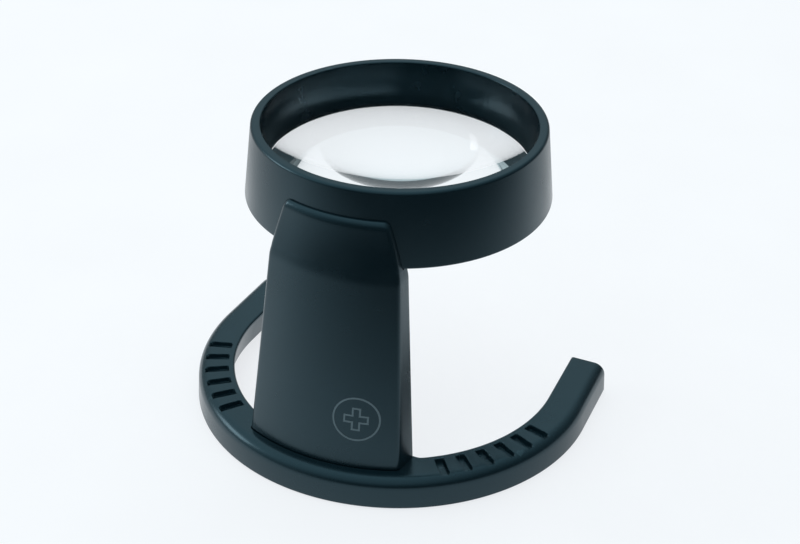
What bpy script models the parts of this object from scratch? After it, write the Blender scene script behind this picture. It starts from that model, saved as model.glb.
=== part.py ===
"""Stand magnifier for low vision: a horseshoe base, a curved column and a level lens housing.

The base lies open at the back, so that a pen can work under the lens. The column stands on
the base's land, leans in towards the lens axis and carries the housing in a rebate at its
head. Everything is fixed: the stand holds the lens a little inside its focal length.

Frame: +Z up, the column at -Y, the open side of the base at +Y. The origin is on the
surface the magnifier stands on, under the middle of its bounding box. Units are metres.
"""
import math

import bmesh
import bpy
from mathutils import Matrix, Vector

MM = 0.001
GAP = 0.3 * MM

# Driving dimensions
BASE_RADIUS = 36.0 * MM
BASE_HEIGHT = 5.6 * MM
RING_TOP = 54.0 * MM
RING_BOTTOM = 40.8 * MM
LENS_SEAT = 46.1 * MM

# Base: the section of its bar, then the plan of the horseshoe
SHOULDER_WIDTH = 2.1 * MM
SHOULDER_HEIGHT = 2.15 * MM
OUTER_DRAFT = 0.3 * MM
INNER_RADIUS_TOP = 29.15 * MM
INNER_RADIUS_FOOT = 30.5 * MM
EDGE_BREAK = 0.35 * MM
ARM_REACH = 14.7 * MM
ARM_TOE_IN = math.radians(2.0)
ARC_STEPS = 46
PAD_RADIUS = 28.0 * MM
PAD_HALF_ANGLE = math.radians(30.0)
PAD_WIDENING = 1.05
PAD_MARGIN = 0.5 * MM

# Grip grooves across the base's land
GROOVES_PER_SIDE = 6
GROOVE_FIRST_ANGLE = math.radians(38.1)
GROOVE_PITCH = math.radians(6.9)
GROOVE_INNER = 30.25 * MM
GROOVE_OUTER = 34.5 * MM
GROOVE_WIDTH = 1.8 * MM
GROOVE_DEPTH = 0.8 * MM

# Column: radii are measured from the lens axis
FOOT_SOCKET = 1.0 * MM
FOOT_FRONT = 32.75 * MM
FOOT_REAR = 28.9 * MM
FOOT_HALF_WIDTH = 13.9 * MM
FOOT_FLARE = 0.7 * MM
CREASE_HEIGHT = 39.2 * MM
CREASE_FRONT = 28.3 * MM
CREASE_REAR = 25.1 * MM
CREASE_HALF_WIDTH = 11.65 * MM
CREASE_FLARE = 0.2 * MM
HEAD_TOP = 49.1 * MM
HEAD_FRONT = 26.5 * MM
HEAD_LEAN_LOW = math.tan(math.radians(15.0))
HEAD_HALF_WIDTH = 8.9 * MM
FRONT_WALL = 1.9 * MM
FLANGE_WIDTH = 1.8 * MM
POCKET_FLOOR = 12.0 * MM
POCKET_REAR = 16.0 * MM
REBATE_REAR = 18.0 * MM
REBATE_HALF_WIDTH = 15.0 * MM
SHAFT_LEVELS = (16.0 * MM, 27.5 * MM)
HEAD_LEVELS = (41.5 * MM, 44.0 * MM, 46.5 * MM)
OVERRUN = 1.0 * MM

# Lens housing
RING_OUTER_BOTTOM = 26.35 * MM
RING_OUTER_TOP = 25.05 * MM
RIM_INNER = 23.4 * MM
RIM_ROUND = 0.6 * MM
APERTURE = 22.4 * MM
POCKET_RADIUS = 23.5 * MM
TONGUE_HALF_WIDTH = 7.6 * MM
TONGUE_FOOT = 33.6 * MM
TONGUE_THICKNESS = 1.45 * MM
BORE_LAND = 0.6 * MM

# Lens: two aspheric faces on a flat flange
LENS_RADIUS = 23.2 * MM
LENS_TOP_RADIUS = 22.5 * MM
LENS_FOOT_RADIUS = 22.5 * MM
LENS_FLANGE = 2.94 * MM
TOP_CURVE = 67.0 * MM
BOTTOM_CURVE = 38.6 * MM
CONIC = -1.0

# Retaining ring under the lens
RETAINER_RADIUS = 23.2 * MM
RETAINER_BORE = 22.35 * MM
RETAINER_HEIGHT = 1.5 * MM
SPANNER_NOTCH = (1.6 * MM, 1.6 * MM)

# Screws: shaft radius, head radius, head height, length under the head
SHAFT, HEAD, HEAD_HEIGHT, LENGTH = range(4)
BASE_SCREW = (1.0 * MM, 1.6 * MM, 1.1 * MM, 7.6 * MM)
BASE_SCREW_X = 8.0 * MM
BASE_SCREW_RING = 30.6 * MM
BASE_SCREW_RECESS = 0.6 * MM
HOUSING_SCREW = (0.8 * MM, 1.5 * MM, 0.8 * MM, 2.9 * MM)
HOUSING_SCREW_X = 4.6 * MM
HOUSING_SCREW_Z = 37.2 * MM
TONGUE_DRILL = (-2.0 * MM, 6.0 * MM)

# The lens axis stands behind the origin, because the base reaches further than the housing
AXIS_Y = (BASE_RADIUS - RING_OUTER_BOTTOM) / 2

FULL_TURN = 2 * math.pi

# Facets round the turned solids and the drilled holes
RING_SIDES = 72
LENS_SIDES = 64
DRILL_SIDES = 20
LENS_ROWS = 12


def clear_scene():
    for obj in list(bpy.data.objects):
        bpy.data.objects.remove(obj, do_unlink=True)
    for collection in list(bpy.data.collections):
        bpy.data.collections.remove(collection)


def make_material(name, colour, roughness, metallic=0.0, transmission=0.0):
    material = bpy.data.materials.new(name)
    material.use_nodes = True
    shader = material.node_tree.nodes["Principled BSDF"]
    shader.inputs["Base Color"].default_value = (*colour, 1.0)
    shader.inputs["Roughness"].default_value = roughness
    shader.inputs["Metallic"].default_value = metallic
    shader.inputs["Transmission Weight"].default_value = transmission
    material.diffuse_color = (*colour, 1.0)
    return material


def add_object(name, mesh, collection, material=None, location=(0.0, AXIS_Y, 0.0)):
    obj = bpy.data.objects.new(name, mesh)
    collection.objects.link(obj)
    obj.location = location
    if material is not None:
        mesh.materials.append(material)
    return obj


def add_cutter(name, mesh, collection, location=(0.0, AXIS_Y, 0.0)):
    obj = add_object(name, mesh, collection, location=location)
    obj.hide_render = True
    obj.display_type = "WIRE"
    return obj


def mesh_from(bm, name):
    bmesh.ops.recalc_face_normals(bm, faces=bm.faces)
    mesh = bpy.data.meshes.new(name)
    bm.to_mesh(mesh)
    bm.free()
    return mesh


def shade(obj, angle=math.radians(35.0)):
    obj.data.shade_smooth()
    obj.data.set_sharp_from_angle(angle=angle)


def boolean(obj, tool, operation="DIFFERENCE"):
    modifier = obj.modifiers.new(tool.name, "BOOLEAN")
    modifier.operation = operation
    modifier.solver = "EXACT"
    modifier.object = tool
    return modifier


def blend(low, high, share):
    return low + (high - low) * share


def turned(name, profile, closed=False):
    """The profile of a turned solid, from (radius, height) points; a Screw modifier turns it."""
    bm = bmesh.new()
    points = [bm.verts.new((radius, 0.0, height)) for radius, height in profile]
    for start, end in zip(points, points[1:]):
        bm.edges.new((start, end))
    if closed:
        bm.edges.new((points[-1], points[0]))
    mesh = bpy.data.meshes.new(name)
    bm.to_mesh(mesh)
    bm.free()
    return mesh


def add_screw_modifier(obj, steps):
    modifier = obj.modifiers.new("turn", "SCREW")
    modifier.axis = "Z"
    modifier.angle = FULL_TURN
    modifier.steps = steps
    modifier.render_steps = steps
    modifier.use_merge_vertices = True
    modifier.merge_threshold = 0.00002
    modifier.use_smooth_shade = False
    return modifier


def base_section():
    """The bar's closed section as (radius, height), round its outer shoulder."""
    flat_edge = BASE_RADIUS - OUTER_DRAFT - SHOULDER_WIDTH
    points = [(INNER_RADIUS_FOOT + EDGE_BREAK, 0.0), (BASE_RADIUS - EDGE_BREAK, 0.0)]
    points.append((BASE_RADIUS, EDGE_BREAK))
    for step in range(6):
        turn = math.radians(90.0) * step / 5
        points.append((flat_edge + SHOULDER_WIDTH * math.cos(turn),
                       BASE_HEIGHT - SHOULDER_HEIGHT * (1.0 - math.sin(turn))))
    points.append((INNER_RADIUS_TOP + EDGE_BREAK, BASE_HEIGHT))
    points.append((INNER_RADIUS_TOP, BASE_HEIGHT - EDGE_BREAK))
    points.append((INNER_RADIUS_FOOT, EDGE_BREAK))
    return points


def horseshoe_mesh():
    """Sweep the section round the arc with spin, then run both arms out and trim their ends."""
    bm = bmesh.new()
    start_turn = Matrix.Rotation(ARM_TOE_IN, 4, "Z")
    ring = [bm.verts.new(start_turn @ Vector((radius, 0.0, height)))
            for radius, height in base_section()]
    edges = [bm.edges.new((ring[index - 1], ring[index])) for index in range(len(ring))]
    swept = bmesh.ops.spin(bm, geom=ring + edges, cent=(0, 0, 0), axis=(0, 0, -1),
                           angle=math.pi + 2 * ARM_TOE_IN, steps=ARC_STEPS, dvec=(0, 0, 0),
                           use_duplicate=False)
    last = [item for item in swept["geom_last"] if isinstance(item, bmesh.types.BMEdge)]
    run = 2 * ARM_REACH
    for loop, side in ((edges, 1.0), (last, -1.0)):
        grown = bmesh.ops.extrude_edge_only(bm, edges=loop)
        moved = [item for item in grown["geom"] if isinstance(item, bmesh.types.BMVert)]
        along = Vector((-side * math.sin(ARM_TOE_IN), math.cos(ARM_TOE_IN), 0.0)) * run
        bmesh.ops.translate(bm, verts=moved, vec=along)
    bmesh.ops.bisect_plane(bm, geom=bm.verts[:] + bm.edges[:] + bm.faces[:],
                           plane_co=(0.0, ARM_REACH, 0.0), plane_no=(0.0, 1.0, 0.0),
                           clear_outer=True)
    bmesh.ops.holes_fill(bm, edges=[edge for edge in bm.edges if edge.is_boundary])
    return mesh_from(bm, "base")


def arc_points(radius, half_width, count):
    """Points on the circle of this radius round the lens axis, from -X to +X, at the column."""
    points = []
    for step in range(count + 1):
        x = blend(-half_width, half_width, step / count)
        points.append((x, -math.sqrt(radius * radius - x * x)))
    return points


def curved_plate(name, levels, count=14):
    """Loft a curved plate through levels of (height, front, rear, front and rear half width)."""
    bm = bmesh.new()
    loops = []
    for height, front, rear, front_width, rear_width in levels:
        outline = arc_points(front, front_width, count)
        outline += reversed(arc_points(rear, rear_width, count))
        loops.append([bm.verts.new((x, y, height)) for x, y in outline])
    bm.faces.new(loops[0])
    bm.faces.new(loops[-1])
    for lower, upper in zip(loops, loops[1:]):
        for index in range(len(lower)):
            bm.faces.new((lower[index - 1], lower[index], upper[index], upper[index - 1]))
    return mesh_from(bm, name)


def column_front(height):
    if height <= CREASE_HEIGHT:
        share = (height - BASE_HEIGHT) / (CREASE_HEIGHT - BASE_HEIGHT)
        return blend(FOOT_FRONT, CREASE_FRONT, share)
    rise = HEAD_TOP - CREASE_HEIGHT
    share = (height - CREASE_HEIGHT) / rise
    straight = rise * HEAD_LEAN_LOW
    return CREASE_FRONT - straight * share + (straight + HEAD_FRONT - CREASE_FRONT) * share ** 2


def column_rear(height):
    return blend(FOOT_REAR, CREASE_REAR, (height - BASE_HEIGHT) / (CREASE_HEIGHT - BASE_HEIGHT))


def column_half_width(height):
    if height <= CREASE_HEIGHT:
        share = (height - BASE_HEIGHT) / (CREASE_HEIGHT - BASE_HEIGHT)
        return blend(FOOT_HALF_WIDTH, CREASE_HALF_WIDTH, share)
    share = (height - CREASE_HEIGHT) / (HEAD_TOP - CREASE_HEIGHT)
    return blend(CREASE_HALF_WIDTH, HEAD_HALF_WIDTH, share * (0.75 + 0.25 * share))


def side_flare(height):
    """How much wider the column's rear is than its front, on each side."""
    share = (height - BASE_HEIGHT) / (CREASE_HEIGHT - BASE_HEIGHT)
    return blend(FOOT_FLARE, CREASE_FLARE, min(max(share, 0.0), 1.0))


def ring_outer(height):
    return blend(RING_OUTER_BOTTOM, RING_OUTER_TOP,
                 (height - RING_BOTTOM) / (RING_TOP - RING_BOTTOM))


def column_levels(heights, rear_of):
    levels = []
    for height in heights:
        half_width = column_half_width(height)
        levels.append((height, column_front(height), rear_of(height),
                       half_width, half_width + side_flare(height)))
    return levels


def screw_profile(size):
    """A pan-head screw with its tip up: the head's outer face is at height 0."""
    shaft, head, head_height, length = size
    tip = head_height + length
    return [(0.0, tip), (shaft * 0.45, tip), (shaft, tip - shaft * 0.8),
            (shaft, head_height), (head, head_height), (head, head_height * 0.45),
            (head * 0.8, 0.0), (0.0, 0.0)]


def drill_mesh(radius, low, high):
    """A round cutter along +Z."""
    bm = bmesh.new()
    bmesh.ops.create_cone(bm, cap_ends=True, segments=DRILL_SIDES, radius1=radius,
                          radius2=radius, depth=high - low,
                          matrix=Matrix.Translation((0.0, 0.0, (low + high) / 2)))
    return mesh_from(bm, "drill")


def base_screw_place(side):
    x = side * BASE_SCREW_X
    return Vector((x, AXIS_Y - math.sqrt(BASE_SCREW_RING ** 2 - x * x), BASE_SCREW_RECESS))


def housing_screw_place(side):
    """Where the housing screw's head rests, and the turn that points its tip at the column."""
    face = column_front(HOUSING_SCREW_Z) - FRONT_WALL - GAP - TONGUE_THICKNESS
    lean = math.asin(side * HOUSING_SCREW_X / face)
    out = Vector((math.sin(lean), -math.cos(lean), 0.0))
    seat = face - HOUSING_SCREW[HEAD_HEIGHT] - GAP
    place = Vector((0.0, AXIS_Y, HOUSING_SCREW_Z)) + out * seat
    turn = Vector((0.0, 0.0, 1.0)).rotation_difference(out).to_matrix().to_4x4()
    return Matrix.Translation(place) @ turn


def build_base(parts, cutters, material):
    base = add_object("base", horseshoe_mesh(), parts, material)

    pad_width = PAD_RADIUS * math.sin(PAD_HALF_ANGLE)
    pad_outer = BASE_RADIUS - SHOULDER_WIDTH - OUTER_DRAFT - PAD_MARGIN
    pad_levels = [(height, pad_outer, PAD_RADIUS, pad_width * PAD_WIDENING, pad_width)
                  for height in (0.0, BASE_HEIGHT)]
    pad = add_cutter("pad_form", curved_plate("pad_form", pad_levels), cutters)
    boolean(base, pad, "UNION")

    half_width = FOOT_HALF_WIDTH + FOOT_FLARE + GAP
    socket_levels = [(height, FOOT_FRONT + GAP, FOOT_REAR - GAP, half_width, half_width)
                     for height in (BASE_HEIGHT - FOOT_SOCKET, BASE_HEIGHT + OVERRUN)]
    socket = add_cutter("socket_form", curved_plate("socket_form", socket_levels), cutters)
    boolean(base, socket)

    bm = bmesh.new()
    length = GROOVE_OUTER - GROOVE_INNER
    for side in (-1.0, 1.0):
        for index in range(GROOVES_PER_SIDE):
            angle = side * (GROOVE_FIRST_ANGLE + index * GROOVE_PITCH) - math.radians(90.0)
            place = Matrix.Rotation(angle, 4, "Z") @ Matrix.Translation(
                (GROOVE_INNER + length / 2, 0.0, BASE_HEIGHT))
            shape = Matrix.Diagonal((length, GROOVE_WIDTH, 2 * GROOVE_DEPTH, 1.0))
            bmesh.ops.create_cube(bm, size=1.0, matrix=place @ shape)
    grooves = add_cutter("groove_form", mesh_from(bm, "groove_form"), cutters)
    boolean(base, grooves)

    ceiling = BASE_SCREW_RECESS + BASE_SCREW[HEAD_HEIGHT] + GAP
    for side, label in ((-1.0, "left"), (1.0, "right")):
        place = base_screw_place(side)
        counterbore = drill_mesh(BASE_SCREW[HEAD] + GAP, -OVERRUN, ceiling)
        drill = add_cutter("base_counterbore_" + label, counterbore, cutters,
                           location=(place.x, place.y, 0.0))
        boolean(base, drill)
        clearance = drill_mesh(BASE_SCREW[SHAFT] + GAP, -OVERRUN, BASE_HEIGHT + OVERRUN)
        drill = add_cutter("base_clearance_" + label, clearance, cutters,
                           location=(place.x, place.y, 0.0))
        boolean(base, drill)
    shade(base)
    return base


def build_column(parts, cutters, material):
    foot = BASE_HEIGHT - FOOT_SOCKET + GAP
    heights = [foot, *SHAFT_LEVELS, CREASE_HEIGHT, *HEAD_LEVELS, HEAD_TOP]
    column = add_object("column", curved_plate("column", column_levels(heights, column_rear)),
                        parts, material)

    # The rebate that the housing's wall stands in
    rebate_levels = [(height, ring_outer(height) + GAP, REBATE_REAR, REBATE_HALF_WIDTH,
                      REBATE_HALF_WIDTH) for height in (RING_BOTTOM - GAP, RING_TOP)]
    rebate = add_cutter("rebate_form", curved_plate("rebate_form", rebate_levels), cutters)
    boolean(column, rebate)

    # The pocket between the two side flanges, which the housing's tongue hangs in
    pocket_levels = []
    for height in (POCKET_FLOOR, CREASE_HEIGHT, RING_BOTTOM + OVERRUN):
        half_width = column_half_width(height) - FLANGE_WIDTH
        front = column_front(min(height, CREASE_HEIGHT)) - FRONT_WALL
        pocket_levels.append((height, front, POCKET_REAR, half_width,
                              half_width + side_flare(height)))
    pocket = add_cutter("pocket_form", curved_plate("pocket_form", pocket_levels), cutters)
    boolean(column, pocket)

    foot_tip = BASE_SCREW_RECESS + BASE_SCREW[HEAD_HEIGHT] + BASE_SCREW[LENGTH] + GAP
    head_tip = HOUSING_SCREW[HEAD_HEIGHT] + HOUSING_SCREW[LENGTH] + GAP
    for side, label in ((-1.0, "left"), (1.0, "right")):
        place = base_screw_place(side)
        pilot = drill_mesh(BASE_SCREW[SHAFT] + GAP, 0.0, foot_tip)
        drill = add_cutter("foot_pilot_" + label, pilot, cutters,
                           location=(place.x, place.y, 0.0))
        boolean(column, drill)
        pilot = drill_mesh(HOUSING_SCREW[SHAFT] + GAP, 0.0, head_tip)
        drill = add_cutter("head_pilot_" + label, pilot, cutters)
        drill.matrix_world = housing_screw_place(side)
        boolean(column, drill)
    shade(column)
    return column


def build_housing(parts, cutters, material):
    outer_bend = RING_TOP - RIM_ROUND
    profile = []
    for step in range(5):
        turn = math.radians(90.0) * (1.0 - step / 4)
        profile.append((ring_outer(outer_bend) - RIM_ROUND * (1.0 - math.cos(turn)),
                        outer_bend + RIM_ROUND * math.sin(turn)))
    profile += [(RING_OUTER_BOTTOM, RING_BOTTOM + EDGE_BREAK),
                (RING_OUTER_BOTTOM - EDGE_BREAK, RING_BOTTOM),
                (POCKET_RADIUS + EDGE_BREAK, RING_BOTTOM),
                (POCKET_RADIUS, RING_BOTTOM + EDGE_BREAK),
                (POCKET_RADIUS, LENS_SEAT + GAP),
                (APERTURE, LENS_SEAT + GAP),
                (APERTURE, LENS_SEAT + BORE_LAND),
                (RIM_INNER, RING_TOP - EDGE_BREAK),
                (RIM_INNER + EDGE_BREAK, RING_TOP)]
    housing = add_object("lens_housing", turned("lens_housing", profile, closed=True),
                         parts, material)
    add_screw_modifier(housing, RING_SIDES)

    tongue_levels = []
    for height in (TONGUE_FOOT, CREASE_HEIGHT, RING_BOTTOM + OVERRUN):
        front = column_front(min(height, CREASE_HEIGHT)) - FRONT_WALL - GAP
        tongue_levels.append((height, front, front - TONGUE_THICKNESS, TONGUE_HALF_WIDTH,
                              TONGUE_HALF_WIDTH))
    tongue = add_cutter("tongue_form", curved_plate("tongue_form", tongue_levels), cutters)
    boolean(housing, tongue, "UNION")

    for side, label in ((-1.0, "left"), (1.0, "right")):
        hole = drill_mesh(HOUSING_SCREW[SHAFT] + GAP, *TONGUE_DRILL)
        drill = add_cutter("tongue_hole_" + label, hole, cutters)
        drill.matrix_world = housing_screw_place(side)
        boolean(housing, drill)
    shade(housing)
    return housing


def sag(radius, curve):
    """Height lost at this radius on a conic surface with this vertex radius."""
    root = math.sqrt(1.0 - (1.0 + CONIC) * radius * radius / (curve * curve))
    return radius * radius / (curve * (1.0 + root))


def build_lens(parts, material):
    rows = LENS_ROWS
    top_vertex = LENS_SEAT + sag(LENS_TOP_RADIUS, TOP_CURVE)
    flange_foot = LENS_SEAT - LENS_FLANGE
    bottom_vertex = flange_foot - sag(LENS_FOOT_RADIUS, BOTTOM_CURVE)
    top_radii = [LENS_TOP_RADIUS * step / rows for step in range(rows + 1)]
    foot_radii = [LENS_FOOT_RADIUS * step / rows for step in range(rows + 1)]
    profile = [(radius, top_vertex - sag(radius, TOP_CURVE)) for radius in top_radii]
    profile += [(LENS_RADIUS, LENS_SEAT), (LENS_RADIUS, flange_foot)]
    profile += [(radius, bottom_vertex + sag(radius, BOTTOM_CURVE))
                for radius in reversed(foot_radii)]
    lens = add_object("lens", turned("lens", profile), parts, material)
    add_screw_modifier(lens, LENS_SIDES)
    shade(lens)
    return lens


def build_retaining_ring(parts, cutters, material):
    top = LENS_SEAT - LENS_FLANGE - GAP
    low = top - RETAINER_HEIGHT
    profile = [(RETAINER_RADIUS - EDGE_BREAK, top), (RETAINER_RADIUS, top - EDGE_BREAK),
               (RETAINER_RADIUS, low + EDGE_BREAK), (RETAINER_RADIUS - EDGE_BREAK, low),
               (RETAINER_BORE, low), (RETAINER_BORE, top)]
    ring = add_object("lens_retaining_ring", turned("lens_retaining_ring", profile, closed=True),
                      parts, material)
    add_screw_modifier(ring, LENS_SIDES)
    bm = bmesh.new()
    bmesh.ops.create_cube(bm, size=1.0, matrix=Matrix.Translation((0.0, 0.0, low)) @
                          Matrix.Diagonal((3 * RETAINER_RADIUS, *SPANNER_NOTCH, 1.0)))
    notch = add_cutter("spanner_form", mesh_from(bm, "spanner_form"), cutters)
    boolean(ring, notch)
    shade(ring)
    return ring


def build_screws(parts, cutters, material):
    for side, label in ((-1.0, "left"), (1.0, "right")):
        for kind, size in (("base", BASE_SCREW), ("housing", HOUSING_SCREW)):
            name = kind + "_screw_" + label
            screw = add_object(name, turned(name, screw_profile(size)), parts, material)
            add_screw_modifier(screw, DRILL_SIDES)
            if kind == "base":
                screw.matrix_world = Matrix.Translation(base_screw_place(side))
            else:
                screw.matrix_world = housing_screw_place(side)
            bm = bmesh.new()
            slot = Matrix.Diagonal((2.2 * size[HEAD], 0.35 * size[HEAD],
                                    0.7 * size[HEAD_HEIGHT], 1.0))
            bmesh.ops.create_cube(bm, size=1.0, matrix=slot)
            driver = add_cutter(name + "_slot", mesh_from(bm, name + "_slot"), cutters)
            driver.matrix_world = screw.matrix_world
            boolean(screw, driver)
            shade(screw)


def main():
    clear_scene()
    parts = bpy.data.collections.new("stand_magnifier")
    cutters = bpy.data.collections.new("cutters")
    bpy.context.scene.collection.children.link(parts)
    bpy.context.scene.collection.children.link(cutters)

    shell = make_material("stand_plastic", (0.035, 0.062, 0.078), 0.38)
    build_base(parts, cutters, shell)
    shell = make_material("column_plastic", (0.035, 0.062, 0.078), 0.36)
    build_column(parts, cutters, shell)
    shell = make_material("housing_plastic", (0.033, 0.058, 0.072), 0.36)
    build_housing(parts, cutters, shell)
    acrylic = make_material("acrylic", (0.98, 0.99, 0.99), 0.02, transmission=1.0)
    build_lens(parts, acrylic)
    black = make_material("retainer_plastic", (0.02, 0.022, 0.025), 0.5)
    build_retaining_ring(parts, cutters, black)
    steel = make_material("screw_steel", (0.55, 0.56, 0.58), 0.3, metallic=1.0)
    build_screws(parts, cutters, steel)


main()
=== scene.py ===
"""Looks of a fixed-focus stand magnifier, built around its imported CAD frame.

Every moulding is rebuilt finely: the base is swept round its horseshoe with its grip grooves
sunk into the land, the column is lofted up through its crease and head, and the housing, the
lens and its retaining ring are turned. Satin moulded plastic, clear acrylic and steel are
procedural. The stage is a pale floor under soft studio light.

Metres, +Z up. Plan angles are measured round the lens axis from the column (-Y) towards +X.
"""
import math

import bmesh
import bpy
from mathutils import Matrix, Vector


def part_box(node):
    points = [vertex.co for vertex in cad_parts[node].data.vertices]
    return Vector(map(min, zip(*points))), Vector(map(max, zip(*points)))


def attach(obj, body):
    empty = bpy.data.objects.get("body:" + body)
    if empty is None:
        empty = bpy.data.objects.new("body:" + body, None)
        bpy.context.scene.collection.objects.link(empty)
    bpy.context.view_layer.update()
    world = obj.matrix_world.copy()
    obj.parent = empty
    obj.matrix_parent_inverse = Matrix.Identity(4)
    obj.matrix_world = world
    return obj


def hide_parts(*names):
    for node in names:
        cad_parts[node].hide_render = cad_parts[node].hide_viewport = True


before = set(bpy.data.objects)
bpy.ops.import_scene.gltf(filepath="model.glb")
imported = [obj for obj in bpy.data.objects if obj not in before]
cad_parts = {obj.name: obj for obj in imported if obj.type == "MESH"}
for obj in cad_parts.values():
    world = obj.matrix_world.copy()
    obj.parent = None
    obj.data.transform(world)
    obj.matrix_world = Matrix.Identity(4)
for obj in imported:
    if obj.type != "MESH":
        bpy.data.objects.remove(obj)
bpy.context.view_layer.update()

MM = 0.001
GAP = 0.3 * MM
FULL_TURN = 2 * math.pi
QUARTER = math.pi / 2
SHARP_EDGE = math.radians(32.0)
WELD = 1e-7
TURNED_SEGMENTS = 256
DRILL_SEGMENTS = 40
PLATE_SIDE_STEPS = (28, 4, 28, 4)

# Sizes that the frame gives
base_low, base_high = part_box("base")
ring_low, ring_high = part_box("lens_housing")
column_low, column_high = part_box("column")
lens_low, lens_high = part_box("lens")
AXIS_Y = (lens_low.y + lens_high.y) / 2
BASE_RADIUS = AXIS_Y - base_low.y
BASE_HEIGHT = base_high.z
RING_TOP = ring_high.z
RING_OUTER_BOTTOM = ring_high.x
LENS_RADIUS = lens_high.x
HEAD_TOP = column_high.z
FOOT_BOTTOM = column_low.z
ARM_REACH = base_high.y - AXIS_Y

# Base: a bar with a flat land on top, widened inwards to a pad under the column
SHOULDER_RADIUS = 2.1 * MM
OUTER_DRAFT = 0.3 * MM
INNER_RADIUS_TOP = 29.15 * MM
INNER_RADIUS_FOOT = 30.5 * MM
FOOT_ROUND = 0.35 * MM
INNER_ROUND = 0.45 * MM
ARM_TOE_IN = math.radians(2.0)
END_ROUND = 0.35 * MM
PAD_RADIUS = 28.0 * MM
PAD_HALF_ANGLE = math.radians(30.0)
PAD_BLEND = math.radians(3.0)
LAND_STEP = 0.17 * MM
SECTION_ARC_STEPS = 10
EVEN_STATIONS = 150
ARM_STEPS = 10
END_STEPS = 6
END_INSET_SHARE = 0.96

# Grip grooves
GROOVES_PER_SIDE = 6
GROOVE_FIRST_ANGLE = math.radians(38.1)
GROOVE_PITCH = math.radians(6.9)
GROOVE_INNER = 30.25 * MM
GROOVE_OUTER = 34.5 * MM
GROOVE_WIDTH = 1.8 * MM
GROOVE_DEPTH = 0.8 * MM
GROOVE_CORNER = 0.4 * MM
GROOVE_WALL = 0.35 * MM
GROOVE_ZONE = math.radians(2.1)
GROOVE_STATIONS = 34
PAD_STATIONS = 10

# Column
FOOT_SOCKET = 1.0 * MM
FOOT_FRONT = 32.75 * MM
FOOT_REAR = 28.9 * MM
FOOT_HALF_WIDTH = 13.9 * MM
FOOT_FLARE = 0.7 * MM
CREASE_HEIGHT = 39.2 * MM
CREASE_FRONT = 28.3 * MM
CREASE_REAR = 25.1 * MM
CREASE_HALF_WIDTH = 11.65 * MM
CREASE_FLARE = 0.2 * MM
HEAD_FRONT = 26.5 * MM
HEAD_LEAN_LOW = math.tan(math.radians(15.0))
HEAD_HALF_WIDTH = 8.9 * MM
FRONT_WALL = 1.9 * MM
FLANGE_WIDTH = 1.8 * MM
POCKET_FLOOR = 12.0 * MM
POCKET_CORNER = 0.7 * MM
POCKET_REAR = 16.0 * MM
POCKET_STEPS = 16
FRONT_ROUND = 0.6 * MM
REAR_ROUND = 0.35 * MM
HEAD_ROUND_HEIGHT = 1.3 * MM
HEAD_ROUND_DEPTH = 0.8 * MM
CREASE_ROUND = 0.35 * MM
FRONT_ROUND_SHARE = 0.8
REAR_ROUND_SHARE = 0.15
COLUMN_ARC_STEPS = 8
COLUMN_SIDE_STEPS = (32, 4, 32, 4)
SHAFT_STEPS = 60
HEAD_STEPS = 16
HEAD_ROUND_STEPS = 12
SEAM = 0.04 * MM
FOOT_SEAM = 0.22 * MM

# Printed mark on the column's front
MARK_ACROSS = 6.6 * MM
MARK_HEIGHT = 14.6 * MM
MARK_RADIUS = 4.0 * MM
MARK_ARM = 2.1 * MM
MARK_ARM_HALF_WIDTH = 0.75 * MM
MARK_STROKE = 0.3 * MM
MARK_LIFT = 0.03 * MM
MARK_SEGMENTS = 96

# Lens housing
RING_BOTTOM = 40.8 * MM
RING_OUTER_TOP = 25.05 * MM
RIM_INNER = 23.4 * MM
RIM_ROUND = 0.6 * MM
RIM_INNER_ROUND = 0.3 * MM
APERTURE = 22.4 * MM
POCKET_RADIUS = 23.5 * MM
LENS_SEAT = 46.1 * MM
BORE_LAND = 0.6 * MM
SEAT_EDGE_ROUND = 0.08 * MM
SEAT_ROUND = 0.1 * MM
POCKET_MOUTH_ROUND = 0.3 * MM
RING_FOOT_ROUND = 0.35 * MM
TONGUE_HALF_WIDTH = 7.6 * MM
TONGUE_FOOT = 33.6 * MM
TONGUE_THICKNESS = 1.45 * MM
TONGUE_LAP = 1.2 * MM
TONGUE_INSET = 0.2 * MM
TONGUE_CORNER = 0.3 * MM
TONGUE_STEPS = 12
TONGUE_DRILL_FROM = -2.0 * MM
TONGUE_DRILL_TO = 6.0 * MM

# Lens and its retaining ring
LENS_TOP_RADIUS = 22.5 * MM
LENS_FOOT_RADIUS = 22.5 * MM
LENS_FLANGE = 2.94 * MM
TOP_CURVE = 67.0 * MM
BOTTOM_CURVE = 38.6 * MM
RETAINER_BORE = 22.35 * MM
RETAINER_HEIGHT = 1.5 * MM
RETAINER_CORNER = 0.3 * MM
RETAINER_BORE_CORNER = 0.15 * MM
SPANNER_NOTCH = 1.6 * MM
LENS_ROWS = 60

# Screws: shaft radius, head radius, head height, length under the head
SHAFT, HEAD, HEAD_HEIGHT, LENGTH = range(4)
BASE_SCREW = (1.0 * MM, 1.6 * MM, 1.1 * MM, 7.6 * MM)
BASE_SCREW_X = 8.0 * MM
BASE_SCREW_RING = 30.6 * MM
BASE_SCREW_RECESS = 0.6 * MM
HOUSING_SCREW = (0.8 * MM, 1.5 * MM, 0.8 * MM, 2.9 * MM)
HOUSING_SCREW_X = 4.6 * MM
HOUSING_SCREW_Z = 37.2 * MM
SCREW_SEGMENTS = 48
DOME_STEPS = 10
DOME_SHARE = 0.62

# Screw's tip as shares of its shaft's radius, and the form that cuts its slot, centred on the
# end of its head, as shares of the head's radius, radius and height
TIP_FLAT = 0.45
TIP_CHAMFER = 0.8
SLOT_LENGTH = 2.2
SLOT_WIDTH = 0.35
SLOT_HEIGHT = 0.7

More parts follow.
